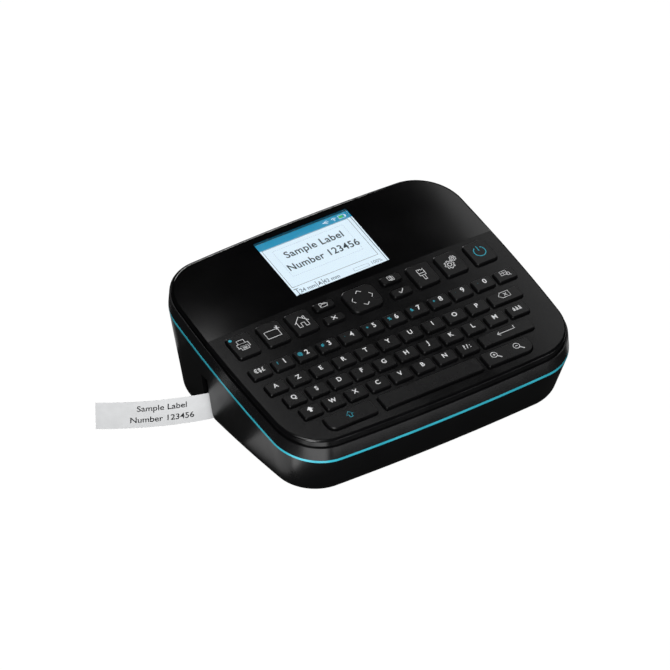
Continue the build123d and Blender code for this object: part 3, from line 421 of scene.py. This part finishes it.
white_ink = ink("white_ink", (0.86, 0.87, 0.88))
teal_ink = ink("teal_ink", (0.03, 0.42, 0.55))
bold = 0.00009  # how far the outline of a letter is moved outwards, in metres
line = 0.5  # width of a symbol's lines, in millimetres


def print_on(pieces, name, body, spot_x=0.0, spot_v=0.0):
    """Prints flat pieces on the key caps of one body, about a point on the deck."""
    legend = join_pieces(pieces, name)
    legend.data.transform(deck_frame @ Matrix.Translation((spot_x, spot_v, key_rise + legend_lift)))
    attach(legend, body)
    return legend


key_pitch = 15.65
flange_lip = 0.55
cap_half = 13.1 / 2


def row_places(node_name, count):
    """Key centres of a row, in millimetres across the deck, and the row's place up the deck."""
    low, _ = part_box(node_name)
    first = low.x / mm + flange_lip + cap_half
    return [first + index * key_pitch for index in range(count)], deck_spot(node_name)[1] / mm


up_arrow = [(0, 2.1), (2.1, -0.1), (0.85, -0.1), (0.85, -1.9), (-0.85, -1.9), (-0.85, -0.1), (-2.1, -0.1)]
letter_height = 3.1
digit_height = 3.5
symbol_height = 2.2
dot_height = 0.9
digit_shift = 1.6
symbol_shift = -3.0
legend_rise = 0.9  # how far a legend sits behind the middle of its cap

# digits, with a second symbol in the other ink at their left
places, row_v = row_places("number_keys", 12)
symbols = ["", "!", "@", "#", "-", "+", "%", "&", "*", ".", ",", ""]
legend_v = row_v + legend_rise
legends = [lettering("€$£", letter_height, places[0], legend_v, white_ink, bold * 0.7, 0.85, 1.15)]
for index in range(1, 11):
    digit_x = places[index] + digit_shift
    symbol_x = places[index] + symbol_shift
    size = dot_height if symbols[index] in "-.," else symbol_height
    legends.append(lettering(str(index % 10), digit_height, digit_x, legend_v, white_ink, bold))
    legends.append(lettering(symbols[index], size, symbol_x, legend_v, teal_ink, bold / 2))

# table with a magnifier on the last key of the row
last = places[11]
legends += [
    line_work(rectangle(last - 0.4, row_v + 1.2, 4.2, 3.2), line * 0.7, white_ink, closed=True),
    line_work([(last - 2.4, row_v + 1.4), (last + 1.6, row_v + 1.4)], line * 0.6, white_ink),
    line_work([(last - 0.6, row_v + 2.7), (last - 0.6, row_v - 0.3)], line * 0.6, white_ink),
    line_work(arc_points(last + 2.0, row_v - 0.3, 1.1, 0, 360, 14), line * 0.7, white_ink, closed=True),
    line_work([(last + 2.8, row_v - 1.1), (last + 3.6, row_v - 1.9)], line * 0.8, white_ink),
]
print_on(legends, "number_legends", "number_keys_body")

letter_rows = {
    "letter_keys_upper": "AZERTYUIOP",
    "letter_keys_middle": "QSDFGHJKLM",
    "letter_keys_lower": " WXCVBN",
}
for node_name, letters in letter_rows.items():
    places, row_v = row_places(node_name, 11)
    legend_v = row_v + legend_rise
    legends = []
    for letter, place in zip(letters, places):
        if letter != " ":
            legends.append(lettering(letter, letter_height, place, legend_v, white_ink, bold))
    if node_name == "letter_keys_middle":
        legends.append(lettering("áàâ", letter_height, places[10], legend_v, white_ink, bold * 0.6,
                                 0.9, 1.2))
    if node_name == "letter_keys_lower":
        legends.append(line_work(shifted(up_arrow, places[0], legend_v), 0, white_ink, filled=True))
        legends.append(lettering("?/:", 3.2, places[7], legend_v, white_ink, bold * 0.7, 1.0, 1.3))
    print_on(legends, node_name.replace("keys", "legends"), node_name + "_body")


# ---------------------------------------------------------------- function key symbols
# Line symbols on the larger keys round the navigation pad: print, new label, home, open, cancel,
# pages, accept, style, settings and power.
def lines(paths, width=line, finish=white_ink, x=0.0, y=0.0, scale=1.0):
    """Printed lines through several open paths."""
    return [line_work(shifted(path, x, y, scale), width, finish) for path in paths]


def loops(paths, width=line, finish=white_ink, x=0.0, y=0.0, scale=1.0):
    """Printed lines round several closed paths."""
    return [line_work(shifted(path, x, y, scale), width, finish, closed=True) for path in paths]


def gear_path(x, y, radius, teeth):
    """Closed path of a small gear symbol."""
    path = []
    for step in range(teeth * 4):
        reach = radius * (1.0 if step % 4 < 2 else 0.76)
        angle = 2 * math.pi * step / (teeth * 4)
        path.append((x + reach * math.cos(angle), y + reach * math.sin(angle)))
    return path


printer = loops([
    [(-3.9, -1.9), (-3.9, 1.2), (3.9, 1.2), (3.9, -1.9), (2.5, -1.9), (2.5, -0.7), (-2.5, -0.7),
     (-2.5, -1.9)],
    [(-2.5, 1.2), (-2.5, 3.9), (2.1, 3.9), (2.1, 1.2)],
    [(-2.5, -0.7), (2.5, -0.7), (2.5, -3.6), (-2.5, -3.6)],
]) + lines([[(-1.4, -1.7), (1.4, -1.7)], [(-1.4, -2.6), (1.4, -2.6)]], line * 0.8)
printer += [line_work(arc_points(-5.4, 5.9, 1.0, 0, 360, 20)[:-1], 0, teal_ink, filled=True)]
new_label = loops([rectangle(-0.4, -0.5, 9.2, 5.4)])
sparkle = [[(2.9, 3.6), (5.7, 2.0)], [(5.1, 4.2), (3.5, 1.4)], [(4.3, 1.1), (4.3, 4.5)]]
new_label += lines(sparkle, line * 0.9)
home = lines([
    [(-4.8, -0.5), (0, 4.1), (4.8, -0.5)],
    [(-3.4, 0.7), (-3.4, -3.8), (-1.2, -3.8), (-1.2, -0.8), (1.2, -0.8), (1.2, -3.8), (3.4, -3.8),
     (3.4, 0.7)],
    [(2.3, 2.0), (2.3, 3.7), (3.4, 3.7), (3.4, 0.9)],
])
folder = loops([[(-2.5, -1.5), (-1.5, 0.5), (2.8, 0.5), (1.8, -1.5)]], line * 0.8)
folder += lines([[(-2.5, -1.5), (-2.5, 1.7), (-1.0, 1.7), (-0.5, 1.1), (1.8, 1.1), (1.8, 0.5)]], line * 0.8)
cancel = lines([[(-1.5, -1.3), (1.5, 1.3)], [(-1.5, 1.3), (1.5, -1.3)]], line * 1.2)
pages = loops([rectangle(-0.6, 0.2, 2.4, 2.9), rectangle(0.6, -0.4, 2.4, 2.9)], line * 0.8)
pages += lines([[(0.0, 0.1), (1.2, 0.1)], [(0.0, -0.8), (1.2, -0.8)]], line * 0.6)
accept = lines([[(-1.7, 0.1), (-0.5, -1.2), (1.9, 1.5)]], line * 1.2)
brush = loops([
    [(-0.7, -4.4), (0.7, -4.4), (0.9, -0.9), (-0.9, -0.9)],
    [(-2.1, -0.9), (2.1, -0.9), (2.1, 0.9), (-2.1, 0.9)],
])
bristles = [(-2.1, 0.9), (-2.1, 4.0), (-0.9, 4.0), (-0.9, 3.0), (0.1, 3.9), (0.9, 3.0), (2.1, 4.0),
            (2.1, 0.9)]
brush += lines([bristles])
gears = loops([gear_path(-1.4, -1.0, 3.2, 8), arc_points(-1.4, -1.0, 1.3, 0, 360, 16)[:-1]])
gears += loops([gear_path(2.9, 2.6, 2.1, 8), arc_points(2.9, 2.6, 0.8, 0, 360, 14)[:-1]], line * 0.85)
power = lines([arc_points(0, 0, 3.7, 60, -240, 30), [(0, 0.6), (0, 4.4)]], line * 1.1, teal_ink)
symbols_of = {
    "print_key": printer, "new_label_key": new_label, "home_key": home, "folder_key": folder,
    "cancel_key": cancel, "insert_key": pages, "ok_key": accept, "format_key": brush,
    "settings_key": gears, "power_key": power,
}
for node_name, symbol in symbols_of.items():
    print_on(symbol, node_name.replace("key", "symbol"), node_name + "_body", *deck_spot(node_name))

# ---------------------------------------------------------------- wide key symbols
# Symbols of the pad, backspace, enter, shift and zoom keys. The zoom key has a shallow moulded
# crease between its two halves.
chevrons = lines([
    [(-1.9, 4.5), (0, 6.1), (1.9, 4.5)], [(-1.9, -4.5), (0, -6.1), (1.9, -4.5)],
    [(-5.6, 1.9), (-7.2, 0), (-5.6, -1.9)], [(5.6, 1.9), (7.2, 0), (5.6, -1.9)],
], line * 0.95)
print_on(chevrons, "pad_arrows", "pad", *deck_spot("navigation_pad"))
tag = [(-4.0, 0), (-2.0, 2.1), (3.6, 2.1), (3.6, -2.1), (-2.0, -2.1)]
backspace = loops([tag], line * 0.8, y=legend_rise)
backspace += lines([[(-0.2, -1.0), (1.8, 1.0)], [(-0.2, 1.0), (1.8, -1.0)]], line * 0.8, y=legend_rise)
print_on(backspace, "backspace_symbol", "backspace_key_body", *deck_spot("backspace_key"))
enter = lines([
    [(6.4, 2.1), (6.4, -0.4), (-5.6, -0.4)],
    [(-3.9, 1.0), (-5.6, -0.4), (-3.9, -1.8)],
], line * 0.9, y=legend_rise)
print_on(enter, "enter_symbol", "enter_key_body", *deck_spot("enter_key"))
shift = loops([up_arrow], line * 0.9, teal_ink, y=0.4, scale=1.1)
print_on(shift, "shift_symbol", "shift_key_body", *deck_spot("shift_key"))
rims = [arc_points(x, 1.3, 2.0, 0, 360, 20)[:-1] for x in (-8.9, 7.0)]
handles = [[(-7.4, -0.2), (-5.3, -2.2)], [(8.5, -0.2), (10.6, -2.2)]]
plus_and_minus = [[(-9.8, 1.3), (-8.0, 1.3)], [(-8.9, 0.4), (-8.9, 2.2)], [(6.1, 1.3), (7.9, 1.3)]]
zoom = loops(rims, line * 0.8) + lines(handles, line * 1.2) + lines(plus_and_minus, line * 0.7)
print_on(zoom, "zoom_symbols", "zoom_rocker", *deck_spot("zoom_key"))
crease = line_work([(0, -5.0), (0, 5.0)], 0.35, cap_black)
crease.name = "zoom_crease"
zoom_x, zoom_v = deck_spot("zoom_key")
crease.data.transform(deck_frame @ Matrix.Translation((zoom_x, zoom_v, key_rise)))
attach(crease, "zoom_rocker")

# ---------------------------------------------------------------- keypad mat, boards and cells
# Behind the keys: a grey silicone mat, the green main board with its screws, the small socket
# board, and the wrapped battery pack with its contact block.
mat_silicone = moulded_plastic("mat_silicone", (0.42, 0.43, 0.42), 0.6, 900.0, 0.00001, 0.4)
dress(mat_silicone, "keypad_mat")
board, board_tree, board_shader, board_place = new_finish("board_green", (0.012, 0.11, 0.045), 0.35)
tracks = board_tree.nodes.new("ShaderNodeTexBrick")
tracks.inputs["Scale"].default_value = 180.0
tracks.inputs["Color1"].default_value = (0.012, 0.12, 0.05, 1.0)
tracks.inputs["Color2"].default_value = (0.010, 0.10, 0.04, 1.0)
tracks.inputs["Mortar"].default_value = (0.04, 0.22, 0.09, 1.0)
tracks.inputs["Mortar Size"].default_value = 0.03
board_tree.links.new(board_place, tracks.inputs["Vector"])
board_tree.links.new(tracks.outputs["Color"], board_shader.inputs["Base Color"])
add_bump(board_tree, board_shader, tracks.outputs["Fac"], 0.00003)
dress(board, "main_board", "io_board")
wrap_black = moulded_plastic("wrap_black", (0.02, 0.021, 0.026), 0.3, 700.0, 0.00002)
dress(wrap_black, "battery_pack")
inner_black = moulded_plastic("inner_black", (0.02, 0.02, 0.021), 0.5, 2000.0, 0.00001)
dress(inner_black, "battery_contacts", "mechanism_frame", "label_chute", "head_carrier", "power_jack",
      "navigation_pivot")

# ---------------------------------------------------------------- metal parts
# Zinc-plated screws and pins, turned motor cans, the ground blade and the aluminium print head.
steel, steel_tree, steel_shader, steel_place = new_finish("bright_steel", (0.55, 0.56, 0.58), 0.3)
steel_shader.inputs["Metallic"].default_value = 1.0
brushing = steel_tree.nodes.new("ShaderNodeMapping")
brushing.inputs["Scale"].default_value = (1.0, 1.0, 30.0)
steel_tree.links.new(steel_place, brushing.inputs["Vector"])
hairlines = add_noise(steel_tree, brushing.outputs["Vector"], 300.0)
vary_roughness(steel_tree, steel_shader, hairlines, 0.22, 0.4)
vary_colour(steel_tree, steel_shader, hairlines, (0.50, 0.51, 0.53), (0.62, 0.63, 0.65))
add_bump(steel_tree, steel_shader, hairlines, 0.000005)
dress(steel, "board_screws", "housing_screws", "hinge_pins", "drive_motor", "cutter_motor", "cutter_blade",
      "print_head", "usb_socket")

# ---------------------------------------------------------------- gears, roller, cassette and spools
# White acetal gears, a black rubber feed roller, and a grey snap-together cassette with the tape
# roll and the two spools of its thermal ribbon.
acetal = moulded_plastic("white_acetal", (0.78, 0.78, 0.75), 0.42, 1200.0, 0.000006)
dress(acetal, "platen_gear", "idler_gear", "motor_pinion", "cutter_pinion")
dress(ring_rubber, "platen_roller")
cassette_grey = moulded_plastic("cassette_grey", (0.12, 0.125, 0.135), 0.45, 2200.0, 0.00001)
dress(cassette_grey, "tape_cassette")
ribbon_film = moulded_plastic("ribbon_film", (0.012, 0.012, 0.014), 0.2, 400.0, 0.000004)
dress(ribbon_film, "ribbon_supply_spool", "ribbon_takeup_spool")

# ---------------------------------------------------------------- tape and printed label
# White laminated polyester tape, 19 mm wide, that leaves the slot in the left side in a shallow
# curl. Its text is thermally printed under the clear top film.
tape, tape_tree, tape_shader, tape_place = new_finish("tape_white", (0.88, 0.89, 0.90), 0.32)
tape_drift = add_noise(tape_tree, tape_place, 200.0)
vary_colour(tape_tree, tape_shader, tape_drift, (0.86, 0.87, 0.88), (0.92, 0.93, 0.94))
vary_roughness(tape_tree, tape_shader, tape_drift, 0.28, 0.36)
add_bump(tape_tree, tape_shader, add_noise(tape_tree, tape_place, 700.0), 0.000004)
dress(tape, "tape_roll", "tape_leader", "printed_label")
print_black = ink("print_black", (0.012, 0.012, 0.014))

label_low, label_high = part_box("printed_label")
label_start = Vector((-85.2 * mm, 23.0 * mm))
exit_bend_radius = 26.0
curl_radius = 205.0
# length and curvature of each stretch of the label, from the cutter outwards
label_runs = [(6.4, 0.0), (7.714, -1 / exit_bend_radius), (64.403, -1 / curl_radius)]
tape_half_thickness = 0.125 * mm
text_centre = 39.6
text_height = 4.1
text_weight = 0.00006


def label_point(distance):
    """Place on the label's middle line and its outward front normal, at a distance in millimetres."""
    spot = label_start.copy()
    heading = math.pi
    left = distance
    for length, bend in label_runs:
        run = min(left, length) if (length, bend) != label_runs[-1] else left
        if bend:
            turned = heading + bend * run
            across = math.sin(turned) - math.sin(heading)
            along = math.cos(heading) - math.cos(turned)
            spot += Vector((across, along)) / bend * mm
            heading = turned
        else:
            spot += Vector((math.cos(heading), math.sin(heading))) * run * mm
        left -= run
        if left <= 0:
            break
    return spot, Vector((-math.sin(heading), math.cos(heading)))


label_text = join_pieces([
    lettering("Sample Label", text_height, 0, 3.6, print_black, text_weight),
    lettering("Number 123456", text_height, 0, -3.7, print_black, text_weight),
], "label_text")
label_middle = (label_low.z + label_high.z) / 2
for vertex in label_text.data.vertices:
    spot, outward = label_point(text_centre - vertex.co.x / mm)
    raised = spot + outward * (tape_half_thickness + ink_thickness + vertex.co.z)
    vertex.co = (raised.x, raised.y, label_middle + vertex.co.y)
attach(label_text, "case")

# ---------------------------------------------------------------- marks on the underside
# Raised open-here triangles beside the thumb recesses of the two covers, moulded with them.
triangle = [(-2.2, 0), (1.4, 2.2), (1.4, -2.2)]
arrow_inset = 13.0 * mm
arrow_relief = 6  # its height, in thicknesses of the printed ink
for node_name, body, name in (("cassette_cover", "cassette_door", "cassette_cover_arrow"),
                              ("battery_cover", "battery_door", "battery_cover_arrow")):
    low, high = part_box(node_name)
    arrow = line_work(triangle, 0, shell_black, filled=True)
    arrow.name = name
    spot = Matrix.Translation((low.x + arrow_inset, (low.y + high.y) / 2, low.z))
    arrow.data.transform(spot @ Matrix.Diagonal((1, 1, arrow_relief, 1)))
    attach(arrow, body)

# ---------------------------------------------------------------- floor, light and camera
# A plain white table, soft lights above, in front and behind, low panels that the glossy walls
# reflect, and a long lens.
floor_drop = 0.5 * mm
floor_bounce = 0.015
bpy.ops.mesh.primitive_plane_add(size=6.0, location=(0, 0, -floor_drop))
floor = bpy.context.object
floor.name = "studio_floor"
floor_finish, floor_tree, floor_shader, _ = new_finish("floor_white", (0.02, 0.02, 0.02), 0.8, 0.0)
ray = floor_tree.nodes.new("ShaderNodeLightPath")
glow = floor_tree.nodes.new("ShaderNodeMapRange")
glow.inputs["To Min"].default_value = floor_bounce
glow.inputs["To Max"].default_value = 1.0
floor_tree.links.new(ray.outputs["Is Camera Ray"], glow.inputs["Value"])
floor_tree.links.new(glow.outputs["Result"], floor_shader.inputs["Emission Strength"])
floor_shader.inputs["Emission Color"].default_value = (1, 1, 1, 1)
floor.data.materials.append(floor_finish)


def soft_light(name, place, aim, width, height, power):
    """Rectangular soft light that faces a point."""
    bpy.ops.object.light_add(type="AREA", location=place)
    light = bpy.context.object
    light.name = name
    light.data.shape = "RECTANGLE"
    light.data.size = width
    light.data.size_y = height
    light.data.energy = power
    light.visible_camera = False
    direction = Vector(aim) - Vector(place)
    light.rotation_euler = direction.to_track_quat("-Z", "Y").to_euler()


# overhead boxes that face straight down, mirrored by the top plates: place, size and power
softbox_height = 0.55
for name, x, y, width, depth, power in (
    ("right_softbox", 0.52, 0.25, 0.3, 0.42, 0.5),
    ("left_softbox", 0.115, 0.205, 0.11, 0.115, 0.065),
    ("front_left_softbox", 0.21, 0.14, 0.08, 0.035, 0.02),
):
    soft_light(name, (x, y, softbox_height), (x, y, 0.0), width, depth, power)

soft_light("front_key", (-1.1, -1.6, 0.75), (-0.03, 0.0, 0.04), 0.6, 0.6, 26.0)
soft_light("top_key", (-0.3, -0.5, 1.3), (0.0, 0.0, 0.05), 0.5, 0.5, 9.0)
soft_light("rear_fill", (0.4, 1.5, 0.55), (0.0, 0.0, 0.04), 0.8, 0.5, 8.0)

# low panels that lie on the table and face up, mirrored by the walls and the band
panel_height = 0.001
for name, x, y, width, depth, power in (
    ("corner_panel", -0.124, -0.083, 0.036, 0.05, 0.014),
    ("left_panel", -0.118, -0.03, 0.03, 0.05, 0.003),
    ("band_corner_panel", -0.165, -0.15, 0.16, 0.07, 0.11),
    ("band_front_panel", 0.06, -0.168, 0.26, 0.05, 0.08),
    ("rear_panel", 0.0, 0.125, 0.2, 0.05, 0.016),
    ("right_panel", 0.155, 0.01, 0.05, 0.13, 0.01),
):
    soft_light(name, (x, y, panel_height), (x, y, 1.0), width, depth, power)

world = bpy.data.worlds.new("studio_world")
world.use_nodes = True
background = world.node_tree.nodes["Background"]
background.inputs["Color"].default_value = (1, 1, 1, 1)
background.inputs["Strength"].default_value = 0.012
bpy.context.scene.world = world

# the camera stands far off at the front left, and its place is given along its own axes
camera_turn = math.radians(33.88)
camera_rise = math.radians(36.30)
camera_shift = -19.87
camera_lift = 33.1
camera_distance = 4854
right = Vector((math.cos(camera_turn), -math.sin(camera_turn), 0))
up = Vector((math.sin(camera_turn) * math.sin(camera_rise), math.cos(camera_turn) * math.sin(camera_rise),
             math.cos(camera_rise)))
back = right.cross(up)
camera_place = (camera_shift * right + camera_lift * up + camera_distance * back) * mm
bpy.ops.object.camera_add(location=camera_place)
camera = bpy.context.object
camera.rotation_euler = Matrix((right, up, back)).transposed().to_euler()
camera.data.lens = 443.7
camera.data.sensor_width = 36.0
camera.data.clip_start = 0.1
camera.data.clip_end = 20.0
bpy.context.scene.camera = camera
bpy.context.scene.view_settings.view_transform = "Standard"
